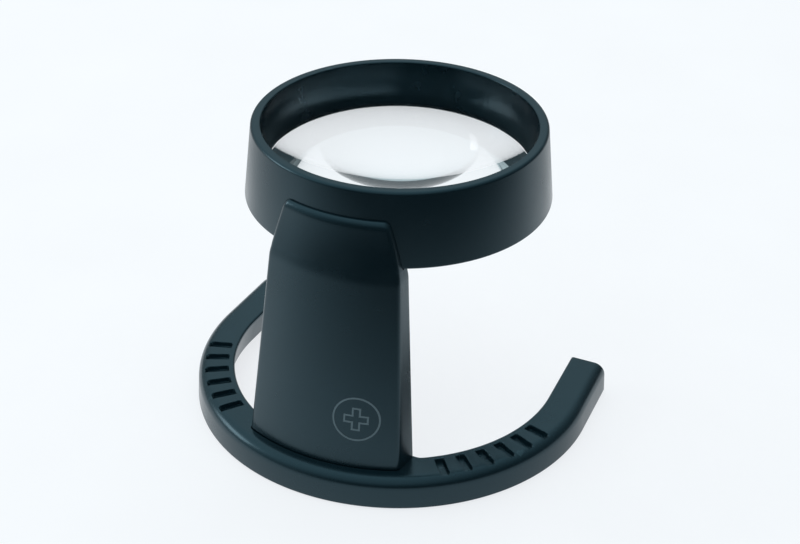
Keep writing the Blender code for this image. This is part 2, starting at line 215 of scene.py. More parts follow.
# Colours: of a moulding and of its edges, lighter partly as wear and partly as a painted edge
# highlight, and of steel at its darkest and lightest
STAND_COLOURS = ((0.0030, 0.0105, 0.0150), (0.035, 0.065, 0.08))
RETAINER_COLOURS = ((0.012, 0.013, 0.015), (0.05, 0.05, 0.055))
PRINT_COLOURS = ((0.092, 0.12, 0.135), (0.11, 0.14, 0.15))
LACQUER_COLOURS = ((0.006, 0.007, 0.008), (0.02, 0.02, 0.022))
STEEL_COLOURS = ((0.44, 0.45, 0.47), (0.62, 0.63, 0.65))

# Pointiness at which an edge starts to be painted lighter, as wear and as an edge highlight, and is
# fully so, and how much that shows
EDGE_WEAR_AND_HIGHLIGHT_START = 0.515
EDGE_WEAR_AND_HIGHLIGHT_FULL = 0.60
EDGE_WEAR_AND_HIGHLIGHT_MOST = 0.55

# Floor
FLOOR_COLOURS = ((0.25, 0.25, 0.25), (0.27, 0.27, 0.27))
FLOOR_GLOW_COLOUR = (0.953, 0.970, 1.0, 1.0)
FLOOR_GLOW = 0.77
FLOOR_HALF_SIZE = 3.0
FLOOR_LEVEL = -0.05 * MM

# World: its colour as a light and as a backdrop, and the backdrop's strength
STUDIO_COLOUR = (0.72, 0.93, 1.0)
BACKDROP_COLOUR = (0.955, 0.985, 1.0)
BACKDROP_STRENGTH = 0.97

# World's light over how far a direction points that way: start, end, strength at each
LIGHT_BEHIND = (-0.75, 0.25, 0.02, 0.28)
LIGHT_LEFT = (0.5, 1.0, 0.0, 0.26)
LIGHT_ABOVE = (0.1, 0.8, 0.0, 0.50)
SHADE_RIGHT = (-0.9, 0.0, 0.38, 1.0)

# Painted reflection shade: a black sheet on the floor in front that only reflections see, clear at
# the object and darker away from it
FLAG_HALF_SIZE = 2.0
FLAG_LEVEL = -0.02 * MM
FLAG_TURN = math.radians(17.0)
FLAG_START = 0.0
FLAG_END = 0.235
FLAG_CLEAR = 0.98
FLAG_FALL = 2.1
FLAG_NEAR = 0.06
FLAG_FAR = 0.32
FLAG_FAR_CLEAR = 0.50

# Lights, in metres and watts: a soft panel overhead and a small window to the camera's left
OVERHEAD_PLACE = (-0.1, 0.2, 1.0)
OVERHEAD_SIZE = (1.4, 1.4)
OVERHEAD_POWER = 5.0
WINDOW_LEFT = 0.65
WINDOW_TOWARDS = -0.1
WINDOW_HEIGHT = 0.28
WINDOW_TARGET = (0.0, 0.0, 0.03)
WINDOW_SIZE = (0.3, 0.22)
WINDOW_POWER = 0.55

# Camera: where it stands round the lens axis, its aim off the axis and its lens
CAMERA_AZIMUTH = math.radians(23.61)
CAMERA_ELEVATION = math.radians(31.63)
CAMERA_ROLL = math.radians(1.07)
CAMERA_DISTANCE = 315.0 * MM
CAMERA_AIM_RIGHT = 0.857 * MM
CAMERA_AIM_UP = 20.56 * MM
CAMERA_LENS_MM = 76.97
SENSOR_MM = 36.0
CAMERA_CLIP = (0.01, 20.0)
TOWARDS_CAMERA = Vector((math.sin(CAMERA_AZIMUTH), -math.cos(CAMERA_AZIMUTH), 0.0))
CAMERA_LEFT = Vector((-math.cos(CAMERA_AZIMUTH), -math.sin(CAMERA_AZIMUTH), 0.0))


def blend(low, high, share):
    return low + (high - low) * share


def smooth(share):
    share = min(max(share, 0.0), 1.0)
    return share * share * (3.0 - 2.0 * share)


# ---------------------------------------------------------------- mesh helpers

def piece_from(bm, name, material=None):
    """A finished mesh object in the scene, smooth apart from its sharp edges."""
    bmesh.ops.recalc_face_normals(bm, faces=bm.faces)
    mesh = bpy.data.meshes.new(name)
    bm.to_mesh(mesh)
    bm.free()
    piece = bpy.data.objects.new(name, mesh)
    bpy.context.scene.collection.objects.link(piece)
    if material is not None:
        mesh.materials.append(material)
    mesh.shade_smooth()
    mesh.set_sharp_from_angle(angle=SHARP_EDGE)
    return piece


def skin(bm, loops, wrap=False):
    """Quads between closed loops of vertices, and from the last loop to the first if wrap."""
    pairs = list(zip(loops, loops[1:]))
    if wrap:
        pairs.append((loops[-1], loops[0]))
    for lower, upper in pairs:
        for index in range(len(lower)):
            bm.faces.new((lower[index - 1], lower[index], upper[index], upper[index - 1]))


def rounded_outline(corners, arc_steps=6, side_steps=None):
    """Points and outward normals of a closed outline through (x, y, corner radius) corners.

    The corners run anticlockwise. Side_steps says into how many lengths the side after each
    corner is divided.
    """
    count = len(corners)
    side_steps = side_steps or (1,) * count
    arcs = []
    for index, (x, y, radius) in enumerate(corners):
        here = Vector((x, y))
        before = (Vector(corners[index - 1][:2]) - here).normalized()
        after = (Vector(corners[(index + 1) % count][:2]) - here).normalized()
        half = before.angle(after) / 2
        centre = here + (before + after).normalized() * (radius / math.sin(half))
        first = here + before * (radius / math.tan(half)) - centre
        last = here + after * (radius / math.tan(half)) - centre
        outward = 1.0 if after.x * before.y > after.y * before.x else -1.0
        start = math.atan2(first.y, first.x)
        sweep = (math.atan2(last.y, last.x) - start + math.pi) % FULL_TURN - math.pi
        arc = []
        for step in range(arc_steps + 1):
            turn = start + sweep * step / arc_steps
            out = Vector((math.cos(turn), math.sin(turn)))
            arc.append((centre + out * radius, out * outward))
        arcs.append(arc)
    outline = []
    for index, (arc, steps) in enumerate(zip(arcs, side_steps)):
        start = arc[-1][0]
        side = arcs[(index + 1) % count][0][0] - start
        normal = Vector((side.y, -side.x)).normalized()
        outline += arc
        outline += [(start + side * (step / steps), normal) for step in range(1, steps)]
    return outline


def turned(name, profile, material, closed=True):
    """A solid of revolution round the lens axis from (radius, height) points.

    A closed profile joins its last point to its first. An open one starts and ends on the axis.
    """
    bm = bmesh.new()
    loops = []
    for step in range(TURNED_SEGMENTS):
        turn = FULL_TURN * step / TURNED_SEGMENTS
        loops.append([bm.verts.new((radius * math.sin(turn), AXIS_Y - radius * math.cos(turn),
                                    height)) for radius, height in profile])
    for index in range(TURNED_SEGMENTS):
        here, there = loops[index - 1], loops[index]
        rows = range(len(profile)) if closed else range(1, len(profile))
        for row in rows:
            bm.faces.new((here[row - 1], here[row], there[row], there[row - 1]))
    bmesh.ops.remove_doubles(bm, verts=bm.verts, dist=WELD)
    return piece_from(bm, name, material)


def cut(piece, tool, operation="DIFFERENCE"):
    """Apply a Boolean to the piece and remove its tool."""
    modifier = piece.modifiers.new("cut", "BOOLEAN")
    modifier.operation = operation
    modifier.solver = "EXACT"
    modifier.object = tool
    depsgraph = bpy.context.evaluated_depsgraph_get()
    result = bpy.data.meshes.new_from_object(piece.evaluated_get(depsgraph))
    piece.modifiers.clear()
    old = piece.data
    piece.data = result
    bpy.data.meshes.remove(old)
    bpy.data.objects.remove(tool)
    piece.data.shade_smooth()
    piece.data.set_sharp_from_angle(angle=SHARP_EDGE)


def around_axis(across, radius, height):
    """A point on the column's side of the lens axis: across along X, at this radius."""
    return (across, AXIS_Y - math.sqrt(radius * radius - across * across), height)


def plate(name, levels, corner, arc_steps):
    """A curved plate through levels of (height, front, rear, front and rear half width)."""
    bm = bmesh.new()
    loops = []
    for height, front, rear, front_width, rear_width in levels:
        corners = [(-front_width, -front, corner), (front_width, -front, corner),
                   (rear_width, -rear, corner), (-rear_width, -rear, corner)]
        outline = rounded_outline(corners, arc_steps, PLATE_SIDE_STEPS)
        loops.append([bm.verts.new(around_axis(point.x, -point.y, height))
                      for point, normal in outline])
    skin(bm, loops)
    bm.faces.new(loops[0])
    bm.faces.new(loops[-1])
    return piece_from(bm, name)


def drill(radius, low, high, place):
    """The form of a clearance hole for something of this radius, from low to high."""
    bm = bmesh.new()
    middle = Matrix.Translation((0.0, 0.0, (low + high) / 2))
    bmesh.ops.create_cone(bm, cap_ends=True, segments=DRILL_SEGMENTS, radius1=radius + GAP,
                          radius2=radius + GAP, depth=high - low, matrix=place @ middle)
    return piece_from(bm, "drill")


# ---------------------------------------------------------------- materials

def new_nodes(name):
    material = bpy.data.materials.new(name)
    material.use_nodes = True
    nodes = material.node_tree.nodes
    return material, nodes, material.node_tree.links, nodes["Principled BSDF"]


def noise(nodes, links, place, scale, detail, roughness=0.5):
    node = nodes.new("ShaderNodeTexNoise")
    node.inputs["Scale"].default_value = scale
    node.inputs["Detail"].default_value = detail
    node.inputs["Roughness"].default_value = roughness
    links.new(place.outputs["Object"], node.inputs["Vector"])
    return node.outputs["Fac"]


def spread(nodes, links, source, low, high):
    """Map a noise's usual range onto low to high."""
    node = nodes.new("ShaderNodeMapRange")
    node.inputs["From Min"].default_value = 0.3
    node.inputs["From Max"].default_value = 0.7
    node.inputs["To Min"].default_value = low
    node.inputs["To Max"].default_value = high
    links.new(source, node.inputs["Value"])
    return node.outputs["Result"]


def mix_colour(nodes, links, factor, first, second):
    node = nodes.new("ShaderNodeMix")
    node.data_type = "RGBA"
    links.new(factor, node.inputs["Factor"])
    for socket, value in ((node.inputs["A"], first), (node.inputs["B"], second)):
        if isinstance(value, tuple):
            socket.default_value = (*value, 1.0)
        else:
            links.new(value, socket)
    return node.outputs["Result"]


def moulded_plastic(name, colour, edge_wear_and_highlight_colour, roughness):
    """Satin injection-moulded plastic: fine spark-eroded grain, faint flow tone, edges lightened
    partly as wear and partly as a painted highlight.
    """
    material, nodes, links, shader = new_nodes(name)
    place = nodes.new("ShaderNodeTexCoord")
    flow = noise(nodes, links, place, scale=45.0, detail=2.0)
    flow_share = spread(nodes, links, flow, 0.0, 1.0)
    darker = tuple(channel * 0.82 for channel in colour)
    lighter = tuple(channel * 1.14 for channel in colour)
    body = mix_colour(nodes, links, flow_share, darker, lighter)

    wear_and_highlight_patches = noise(nodes, links, place, scale=160.0, detail=5.0, roughness=0.65)
    # Convex edges are painted lighter by pointiness: partly wear, partly a painted highlight where
    # a rounded edge catches light.
    geometry = nodes.new("ShaderNodeNewGeometry")
    edge = nodes.new("ShaderNodeMapRange")
    edge.inputs["From Min"].default_value = EDGE_WEAR_AND_HIGHLIGHT_START
    edge.inputs["From Max"].default_value = EDGE_WEAR_AND_HIGHLIGHT_FULL
    edge.inputs["To Max"].default_value = EDGE_WEAR_AND_HIGHLIGHT_MOST
    links.new(geometry.outputs["Pointiness"], edge.inputs["Value"])
    edge_wear_and_highlight = nodes.new("ShaderNodeMath")
    edge_wear_and_highlight.operation = "MULTIPLY"
    links.new(edge.outputs["Result"], edge_wear_and_highlight.inputs[0])
    links.new(spread(nodes, links, wear_and_highlight_patches, 0.2, 1.0), edge_wear_and_highlight.inputs[1])
    links.new(mix_colour(nodes, links, edge_wear_and_highlight.outputs["Value"], body, edge_wear_and_highlight_colour),
              shader.inputs["Base Color"])

    shader.inputs["Specular IOR Level"].default_value = 0.85
    shader.inputs["Specular Tint"].default_value = (0.52, 0.85, 1.0, 1.0)
    satin = noise(nodes, links, place, scale=110.0, detail=4.0, roughness=0.6)
    links.new(spread(nodes, links, satin, roughness - 0.04, roughness + 0.05),
              shader.inputs["Roughness"])

    fine = noise(nodes, links, place, scale=5200.0, detail=2.0)
    bump = nodes.new("ShaderNodeBump")
    bump.inputs["Strength"].default_value = 0.12
    bump.inputs["Distance"].default_value = 0.02 * MM
    links.new(fine, bump.inputs["Height"])
    links.new(bump.outputs["Normal"], shader.inputs["Normal"])
    return material


def clear_acrylic(name):
    """Clear lens acrylic with the faint uneven haze of a wiped lens."""
    material, nodes, links, shader = new_nodes(name)
    shader.inputs["Base Color"].default_value = (1.0, 1.0, 1.0, 1.0)
    shader.inputs["Transmission Weight"].default_value = 1.0
    shader.inputs["IOR"].default_value = 1.49
    place = nodes.new("ShaderNodeTexCoord")
    wipe = noise(nodes, links, place, scale=260.0, detail=4.0)
    links.new(spread(nodes, links, wipe, 0.0, 0.012), shader.inputs["Roughness"])
    return material


def bright_steel(name):
    """Screw steel with faint stains and a brushed finish."""
    material, nodes, links, shader = new_nodes(name)
    shader.inputs["Metallic"].default_value = 1.0
    place = nodes.new("ShaderNodeTexCoord")
    stain = noise(nodes, links, place, scale=900.0, detail=4.0)
    tone = mix_colour(nodes, links, spread(nodes, links, stain, 0.0, 1.0), *STEEL_COLOURS)
    links.new(tone, shader.inputs["Base Color"])
    brushed = noise(nodes, links, place, scale=3200.0, detail=2.0)
    links.new(spread(nodes, links, brushed, 0.22, 0.42), shader.inputs["Roughness"])
    return material


stand_plastic = moulded_plastic("stand_plastic", *STAND_COLOURS, 0.24)
retainer_plastic = moulded_plastic("retainer_plastic", *RETAINER_COLOURS, 0.48)
print_ink = moulded_plastic("print_ink", *PRINT_COLOURS, 0.42)
edge_lacquer = moulded_plastic("lens_edge_lacquer", *LACQUER_COLOURS, 0.6)
acrylic = clear_acrylic("lens_acrylic")
steel = bright_steel("screw_steel")


# ---------------------------------------------------------------- base

def base_section(pad_share):
    """The bar's section as (radius, height) points and normals, from its outer foot upwards.

    Pad_share is 0 on the plain bar and 1 on the pad. Every section has as many points.
    """
    inner_top = blend(INNER_RADIUS_TOP, PAD_RADIUS, pad_share)
    inner_foot = blend(INNER_RADIUS_FOOT, PAD_RADIUS, pad_share)
    corners = [(BASE_RADIUS, 0.0, FOOT_ROUND),
               (BASE_RADIUS - OUTER_DRAFT, BASE_HEIGHT, SHOULDER_RADIUS),
               (inner_top, BASE_HEIGHT, INNER_ROUND),
               (inner_foot, 0.0, FOOT_ROUND)]
    outline = rounded_outline(corners, SECTION_ARC_STEPS)
    shoulder_end = 2 * (SECTION_ARC_STEPS + 1)
    start = outline[shoulder_end - 1][0]
    end = outline[shoulder_end][0]
    steps = int(round((start.x - INNER_RADIUS_TOP) / LAND_STEP))
    land = [(start.lerp(end, step / steps), Vector((0.0, 1.0))) for step in range(1, steps)]
    return outline[:shoulder_end] + land + outline[shoulder_end:]


def groove_centres():
    """Plan angles of the grip grooves, on both sides of the column."""
    angles = []
    for index in range(GROOVES_PER_SIDE):
        angle = GROOVE_FIRST_ANGLE + index * GROOVE_PITCH
        angles += [-angle, angle]
    return angles


def groove_depth(radius, angle):
    """How far the grooves sink the land at this radius and plan angle."""
    middle = (GROOVE_INNER + GROOVE_OUTER) / 2
    half_length = (GROOVE_OUTER - GROOVE_INNER) / 2 - GROOVE_CORNER
    half_width = GROOVE_WIDTH / 2 - GROOVE_CORNER
    depth = 0.0
    for centre in groove_centres():
        along = abs(radius * math.cos(angle - centre) - middle)
        across = abs(radius * math.sin(angle - centre))
        outside = Vector((max(along - half_length, 0.0), max(across - half_width, 0.0))).length
        depth = max(depth, smooth((GROOVE_CORNER - outside) / GROOVE_WALL) * GROOVE_DEPTH)
    return depth


def station_angles():
    """Plan angles of the sweep round the arc: even steps, with fine ones at grooves and pad."""
    limit = QUARTER + ARM_TOE_IN
    fine_zones = [(angle, GROOVE_ZONE, GROOVE_STATIONS) for angle in groove_centres()]
    fine_zones += [(side * PAD_HALF_ANGLE, PAD_BLEND, PAD_STATIONS) for side in (-1.0, 1.0)]
    angles = []
    for step in range(EVEN_STATIONS + 1):
        angle = blend(-limit, limit, step / EVEN_STATIONS)
        if all(abs(angle - centre) > reach for centre, reach, count in fine_zones):
            angles.append(angle)
    for centre, reach, count in fine_zones:
        angles += [centre + blend(-reach, reach, step / count) for step in range(count + 1)]
    return sorted(angles)


def build_base():
    """The horseshoe: its section swept round the arc and along both arms."""
    bm = bmesh.new()
    loops = []
    limit = QUARTER + ARM_TOE_IN
    arm_section = base_section(0.0)

    def arm_loop(side, reach, inset):
        """The section at an arm's end: inset along its normals, in the plane y = reach."""
        out = Vector((side * math.sin(limit), -math.cos(limit)))
        along = Vector((-side * math.sin(ARM_TOE_IN), math.cos(ARM_TOE_IN)))
        loop = []
        for point, normal in arm_section:
            radius, height = point - normal * inset
            distance = (reach - out.y * radius) / along.y
            place = out * radius + along * distance
            loop.append(bm.verts.new((place.x, AXIS_Y + place.y, height)))
        return loop

    arm_start = math.cos(ARM_TOE_IN - QUARTER) * BASE_RADIUS
    reaches = []
    for step in range(1, ARM_STEPS + 1):
        reaches.append((blend(arm_start, ARM_REACH - END_ROUND, step / ARM_STEPS), 0.0))
    for step in range(1, END_STEPS + 1):
        turn = QUARTER * step / END_STEPS
        reaches.append((ARM_REACH - END_ROUND * (1.0 - math.sin(turn)),
                        END_ROUND * END_INSET_SHARE * (1.0 - math.cos(turn))))

    loops += [arm_loop(-1.0, reach, inset) for reach, inset in reversed(reaches)]
    for angle in station_angles():
        share = 1.0 - smooth((abs(angle) - PAD_HALF_ANGLE + PAD_BLEND) / (2 * PAD_BLEND))
        loop = []
        for point, normal in base_section(share):
            height = point.y
            if normal.y > 0.0 and point.x > GROOVE_INNER - GROOVE_WALL:
                height -= groove_depth(point.x, angle)
            loop.append(bm.verts.new((point.x * math.sin(angle),
                                      AXIS_Y - point.x * math.cos(angle), height)))
        loops.append(loop)
    loops += [arm_loop(1.0, reach, inset) for reach, inset in reaches]
    skin(bm, loops)
    bm.faces.new(loops[0])
    bm.faces.new(loops[-1])
    base = piece_from(bm, "base_moulding", stand_plastic)

    levels = [(height, FOOT_FRONT + FOOT_SEAM, FOOT_REAR - SEAM, FOOT_HALF_WIDTH + SEAM,
               FOOT_HALF_WIDTH + FOOT_FLARE + SEAM)
              for height in (BASE_HEIGHT - FOOT_SOCKET, BASE_HEIGHT + MM)]
    cut(base, plate("socket_form", levels, corner=FRONT_ROUND, arc_steps=6))
    for side in (-1.0, 1.0):
        place = base_screw_place(side)
        recess_top = BASE_SCREW_RECESS + BASE_SCREW[HEAD_HEIGHT] + GAP
        for radius, high in ((BASE_SCREW[HEAD], recess_top), (BASE_SCREW[SHAFT], BASE_HEIGHT + MM)):
            cut(base, drill(radius, -MM, high, Matrix.Translation((place.x, place.y, 0.0))))
    return base


# ---------------------------------------------------------------- column

def column_front(height):
    """Radius of the column's front: a straight slope up to the crease, a curved one above it."""
    if height <= CREASE_HEIGHT:
        share = (height - BASE_HEIGHT) / (CREASE_HEIGHT - BASE_HEIGHT)
        return blend(FOOT_FRONT, CREASE_FRONT, share)
    rise = HEAD_TOP - CREASE_HEIGHT
    share = (height - CREASE_HEIGHT) / rise
    straight = rise * HEAD_LEAN_LOW
    return CREASE_FRONT - straight * share + (straight + HEAD_FRONT - CREASE_FRONT) * share ** 2


def column_rear(height):
    return blend(FOOT_REAR, CREASE_REAR, (height - BASE_HEIGHT) / (CREASE_HEIGHT - BASE_HEIGHT))


def column_half_width(height):
    if height <= CREASE_HEIGHT:
        share = (height - BASE_HEIGHT) / (CREASE_HEIGHT - BASE_HEIGHT)
        return blend(FOOT_HALF_WIDTH, CREASE_HALF_WIDTH, share)
    share = (height - CREASE_HEIGHT) / (HEAD_TOP - CREASE_HEIGHT)
    return blend(CREASE_HALF_WIDTH, HEAD_HALF_WIDTH, share * (0.75 + 0.25 * share))


def side_flare(height):
    """How much wider the column's rear is than its front, on each side."""
    share = (height - BASE_HEIGHT) / (CREASE_HEIGHT - BASE_HEIGHT)
    return blend(FOOT_FLARE, CREASE_FLARE, min(max(share, 0.0), 1.0))


def ring_outer(height):
    """Radius of the housing's outer wall."""
    return blend(RING_OUTER_BOTTOM, RING_OUTER_TOP,
                 (height - RING_BOTTOM) / (RING_TOP - RING_BOTTOM))


def softened_front(height):
    """The column's front, averaged a little over height so that its crease is rounded."""
    steps = 6
    total = 0.0
    for step in range(-steps, steps + 1):
        near = min(max(height + CREASE_ROUND * step / steps, FOOT_BOTTOM), HEAD_TOP)
        total += column_front(near)
    return total / (2 * steps + 1)


def column_loop(bm, height, rear, inset=0.0):
    """One level of the column: its front and sides drawn in by the inset, its rear kept."""
    front = softened_front(height) - inset
    width = column_half_width(height) - inset
    thickness = front - rear
    front_round = min(FRONT_ROUND, thickness * FRONT_ROUND_SHARE)
    rear_round = min(REAR_ROUND, thickness * REAR_ROUND_SHARE)
    rear_width = width + side_flare(height)
    corners = [(-width, -front, front_round), (width, -front, front_round),
               (rear_width, -rear, rear_round), (-rear_width, -rear, rear_round)]
    return [bm.verts.new(around_axis(point.x, -point.y, height))
            for point, normal in rounded_outline(corners, COLUMN_ARC_STEPS, COLUMN_SIDE_STEPS)]


def build_column():
    """The leaning plate with its hollow back, lofted from its foot to its rounded head."""
    bm = bmesh.new()
    ledge = RING_BOTTOM - SEAM
    loops = []
    for step in range(SHAFT_STEPS + 1):
        height = blend(FOOT_BOTTOM, ledge, step / SHAFT_STEPS)
        loops.append(column_loop(bm, height, column_rear(height)))
    head_end = HEAD_TOP - HEAD_ROUND_HEIGHT
    for step in range(HEAD_STEPS + 1):
        height = blend(ledge, head_end, step / HEAD_STEPS)
        loops.append(column_loop(bm, height, ring_outer(height) + SEAM))
    for step in range(1, HEAD_ROUND_STEPS + 1):
        turn = QUARTER * step / HEAD_ROUND_STEPS
        height = head_end + HEAD_ROUND_HEIGHT * math.sin(turn)
        inset = HEAD_ROUND_DEPTH * (1.0 - math.cos(turn))
        loops.append(column_loop(bm, height, ring_outer(height) + SEAM, inset))
    skin(bm, loops)
    bm.faces.new(loops[0])
    bm.faces.new(loops[-1])
    column = piece_from(bm, "column_moulding", stand_plastic)

    levels = []
    for step in range(POCKET_STEPS + 1):
        height = blend(POCKET_FLOOR, RING_BOTTOM + MM, step / POCKET_STEPS)
        width = column_half_width(height) - FLANGE_WIDTH
        levels.append((height, softened_front(height) - FRONT_WALL, POCKET_REAR,
                       width, width + side_flare(height)))
    cut(column, plate("pocket_form", levels, corner=POCKET_CORNER, arc_steps=5))
    for side in (-1.0, 1.0):
        place = base_screw_place(side)
        top = BASE_SCREW_RECESS + BASE_SCREW[HEAD_HEIGHT] + BASE_SCREW[LENGTH] + GAP
        cut(column, drill(BASE_SCREW[SHAFT], 0.0, top,
                          Matrix.Translation((place.x, place.y, 0.0))))
        depth = HOUSING_SCREW[HEAD_HEIGHT] + HOUSING_SCREW[LENGTH] + GAP
        cut(column, drill(HOUSING_SCREW[SHAFT], 0.0, depth, housing_screw_place(side)))
    return column


def on_front(across, up, lift):
    """A point on the column's front from the mark's middle: across, up, and out by lift."""
    height = MARK_HEIGHT + up
    return around_axis(MARK_ACROSS + across, column_front(height) + lift, height)


def printed_band(bm, outer, inner):
    """A closed band of print between two loops of (across, up) points."""
    loops = []
    for outline, lift in ((outer, -MARK_LIFT), (outer, MARK_LIFT), (inner, MARK_LIFT),
                          (inner, -MARK_LIFT)):
        loops.append([bm.verts.new(on_front(across, up, lift)) for across, up in outline])
    skin(bm, loops, wrap=True)


def plus_outline(reach, half_width, steps=5):
    """A plus sign's outline as (across, up) points, each of its sides divided into steps."""
    corners = []
    for quarter in range(4):
        turn = Matrix.Rotation(QUARTER * quarter, 2)
        for corner in ((reach, -half_width), (reach, half_width), (half_width, half_width)):
            corners.append(turn @ Vector(corner))
    outline = []
    for index, corner in enumerate(corners):
        before = corners[index - 1]
        outline += [tuple(before.lerp(corner, step / steps)) for step in range(steps)]
    return outline


def build_mark():
    """A plain ring with a plus sign in it, printed on the column's front."""
    bm = bmesh.new()
    rings = []
    for radius in (MARK_RADIUS, MARK_RADIUS - MARK_STROKE):
        turns = [FULL_TURN * step / MARK_SEGMENTS for step in range(MARK_SEGMENTS)]
        rings.append([(radius * math.cos(turn), radius * math.sin(turn)) for turn in turns])
    printed_band(bm, *rings)
    printed_band(bm, plus_outline(MARK_ARM, MARK_ARM_HALF_WIDTH),
                 plus_outline(MARK_ARM - MARK_STROKE, MARK_ARM_HALF_WIDTH - MARK_STROKE))
    return piece_from(bm, "column_mark", print_ink)


# ---------------------------------------------------------------- housing, lens, retainer

def build_housing():
    """The flared ring round the lens, and the tongue that is screwed to the column's back."""
    seat = LENS_SEAT + SEAM
    corners = [(POCKET_RADIUS, RING_BOTTOM, POCKET_MOUTH_ROUND),
               (RING_OUTER_BOTTOM, RING_BOTTOM, RING_FOOT_ROUND),
               (RING_OUTER_TOP, RING_TOP, RIM_ROUND),
               (RIM_INNER, RING_TOP, RIM_INNER_ROUND),
               (APERTURE, LENS_SEAT + BORE_LAND, SEAT_ROUND),
               (APERTURE, seat, SEAT_EDGE_ROUND),
               (POCKET_RADIUS, seat, SEAT_ROUND)]
    profile = [tuple(point) for point, normal in rounded_outline(corners, 8)]
    housing = turned("housing_moulding", profile, stand_plastic)
    levels = []
    for step in range(TONGUE_STEPS + 1):
        height = blend(TONGUE_FOOT, RING_BOTTOM + TONGUE_LAP, step / TONGUE_STEPS)
        front = softened_front(min(height, CREASE_HEIGHT)) - FRONT_WALL - GAP
        if height >= RING_BOTTOM:
            front = min(front, ring_outer(RING_BOTTOM) - TONGUE_INSET)
        levels.append((height, front, front - TONGUE_THICKNESS, TONGUE_HALF_WIDTH,
                       TONGUE_HALF_WIDTH))
    cut(housing, plate("tongue_form", levels, corner=TONGUE_CORNER, arc_steps=4), "UNION")
    for side in (-1.0, 1.0):
        cut(housing, drill(HOUSING_SCREW[SHAFT], TONGUE_DRILL_FROM, TONGUE_DRILL_TO,
                           housing_screw_place(side)))
    return housing


def sag(radius, curve):
    """Height lost at this radius on a parabolic face with this vertex radius."""
    return radius * radius / (2.0 * curve)


def build_lens():
    """The lens: two parabolic faces on a flat flange, which is lacquered black round its edge."""
    top_vertex = LENS_SEAT + sag(LENS_TOP_RADIUS, TOP_CURVE)
    flange_foot = LENS_SEAT - LENS_FLANGE
    bottom_vertex = flange_foot - sag(LENS_FOOT_RADIUS, BOTTOM_CURVE)
    top_radii = [LENS_TOP_RADIUS * step / LENS_ROWS for step in range(LENS_ROWS + 1)]
    foot_radii = [LENS_FOOT_RADIUS * step / LENS_ROWS for step in range(LENS_ROWS + 1)]
    profile = [(radius, bottom_vertex + sag(radius, BOTTOM_CURVE)) for radius in foot_radii]
    profile += [(LENS_RADIUS, flange_foot), (LENS_RADIUS, LENS_SEAT)]
    profile += [(radius, top_vertex - sag(radius, TOP_CURVE)) for radius in reversed(top_radii)]
    lens = turned("lens_optic", profile, acrylic, closed=False)
    lens.data.materials.append(edge_lacquer)
    for face in lens.data.polygons:
        radius = math.hypot(face.center.x, face.center.y - AXIS_Y)
        if radius > LENS_TOP_RADIUS:
            face.material_index = 1
    return lens


def build_retainer():
    """The ring under the lens, with a notch on each side for a spanner."""
    top = LENS_SEAT - LENS_FLANGE - GAP
    low = top - RETAINER_HEIGHT
    corners = [(RETAINER_BORE, low, RETAINER_BORE_CORNER), (LENS_RADIUS, low, RETAINER_CORNER),
               (LENS_RADIUS, top, RETAINER_CORNER), (RETAINER_BORE, top, RETAINER_BORE_CORNER)]
    profile = [tuple(point) for point, normal in rounded_outline(corners, 5)]
    ring = turned("retaining_ring", profile, retainer_plastic)
    bm = bmesh.new()
    bmesh.ops.create_cube(bm, size=1.0, matrix=Matrix.Translation((0.0, AXIS_Y, low)) @
                          Matrix.Diagonal((3 * LENS_RADIUS, SPANNER_NOTCH, SPANNER_NOTCH, 1.0)))
    cut(ring, piece_from(bm, "notch_form"))
    return ring


# ---------------------------------------------------------------- screws

def base_screw_place(side):
    """The lowest point of a base screw, which stands on its head."""
    across = side * BASE_SCREW_X
    return Vector((across, AXIS_Y - math.sqrt(BASE_SCREW_RING ** 2 - across * across),
                   BASE_SCREW_RECESS))


def housing_screw_place(side):
    """The end of a housing screw's head, and the turn that points its tip at the column."""
    face = column_front(HOUSING_SCREW_Z) - FRONT_WALL - GAP - TONGUE_THICKNESS
    lean = math.asin(side * HOUSING_SCREW_X / face)
    out = Vector((math.sin(lean), -math.cos(lean), 0.0))
    head_back = face - HOUSING_SCREW[HEAD_HEIGHT] - GAP
    place = Vector((0.0, AXIS_Y, HOUSING_SCREW_Z)) + out * head_back
    turn = Vector((0.0, 0.0, 1.0)).rotation_difference(out).to_matrix().to_4x4()
    return Matrix.Translation(place) @ turn


def build_screw(name, size, place):
    """A pan-head screw, its tip up: a domed head with a straight slot."""
    shaft, head, head_height, length = size
    tip = head_height + length
    profile = [(0.0, tip), (shaft * TIP_FLAT, tip), (shaft, tip - shaft * TIP_CHAMFER),
               (shaft, head_height), (head, head_height)]
    dome = head_height * DOME_SHARE
    for step in range(DOME_STEPS + 1):
        turn = QUARTER * step / DOME_STEPS
        profile.append((head * math.cos(turn), dome * (1.0 - math.sin(turn))))
    bm = bmesh.new()
    loops = []
    for step in range(SCREW_SEGMENTS):
        turn = FULL_TURN * step / SCREW_SEGMENTS
        loops.append([bm.verts.new(place @ Vector((radius * math.cos(turn),
                                                   radius * math.sin(turn), height)))
                      for radius, height in profile])
    for index in range(SCREW_SEGMENTS):
        here, there = loops[index - 1], loops[index]
        for row in range(1, len(profile)):
            bm.faces.new((here[row - 1], here[row], there[row], there[row - 1]))
    bmesh.ops.remove_doubles(bm, verts=bm.verts, dist=WELD)
    screw = piece_from(bm, name, steel)
    bm = bmesh.new()
    slot = Matrix.Diagonal((SLOT_LENGTH * head, SLOT_WIDTH * head, SLOT_HEIGHT * head_height, 1.0))
    bmesh.ops.create_cube(bm, size=1.0, matrix=place @ slot)
    cut(screw, piece_from(bm, "slot_form"))
    return screw


# ---------------------------------------------------------------- put together

